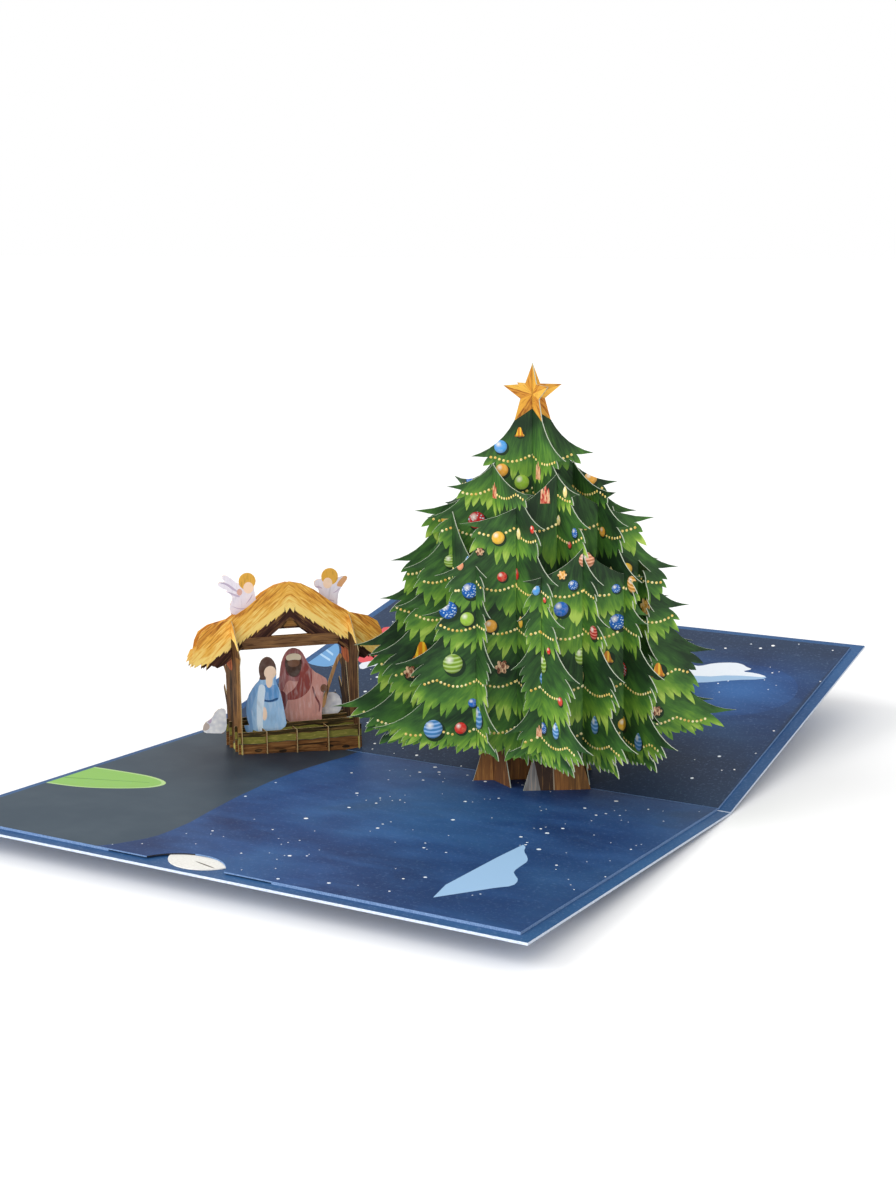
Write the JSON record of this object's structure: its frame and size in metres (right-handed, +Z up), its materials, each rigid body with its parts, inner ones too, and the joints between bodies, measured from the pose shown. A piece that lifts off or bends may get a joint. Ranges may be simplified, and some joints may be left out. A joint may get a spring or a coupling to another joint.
{
  "type": "pop up card",
  "caption": "Folded greeting card standing open, with an interlocking paper tree and a small paper stable rising across its fold and a note card in a front pocket.",
  "frame": {"origin": "middle of the fold, on the surface that the card stands on", "axes": "+X along the fold, +Y towards the back panel, +Z up"},
  "size_m": [0.22, 0.2974, 0.1495],
  "materials": {
    "cover_board": "satin printed board",
    "night_print": "satin printed liner",
    "note_paper": "uncoated white card",
    "tree_print": "matt printed card",
    "thatch_print": "matt printed card",
    "timber_print": "matt printed card",
    "figure_print": "matt printed card"
  },
  "bodies": {
    "card": {"cover": "cover_board", "liner_front": "night_print", "liner_back": "night_print", "tree_wide_slice_1": "tree_print", "tree_wide_slice_2": "tree_print", "tree_wide_slice_3": "tree_print", "tree_wide_slice_4": "tree_print", "tree_wide_slice_5": "tree_print", "tree_cross_slice_1": "tree_print", "tree_cross_slice_2": "tree_print", "tree_cross_slice_3": "tree_print", "tree_cross_slice_4": "tree_print", "tree_cross_slice_5": "tree_print", "stable_fence_front": "timber_print", "blue_robe_slice": "figure_print", "brown_robe_slice": "figure_print", "sheep_slice": "figure_print", "roof_front": "thatch_print", "roof_back": "thatch_print", "stable_wall_left": "timber_print", "stable_wall_right": "timber_print", "stable_rib_1": "timber_print", "stable_rib_2": "timber_print", "stable_rib_3": "timber_print"},
    "note": {"note_card": "note_paper"}
  },
  "joints": [
    {"name": "note_slide", "type": "slide", "parent": "card", "child": "note", "axis": [0, -0.9986, 0.0523], "range_m": [0, 0.07]}
  ]
}
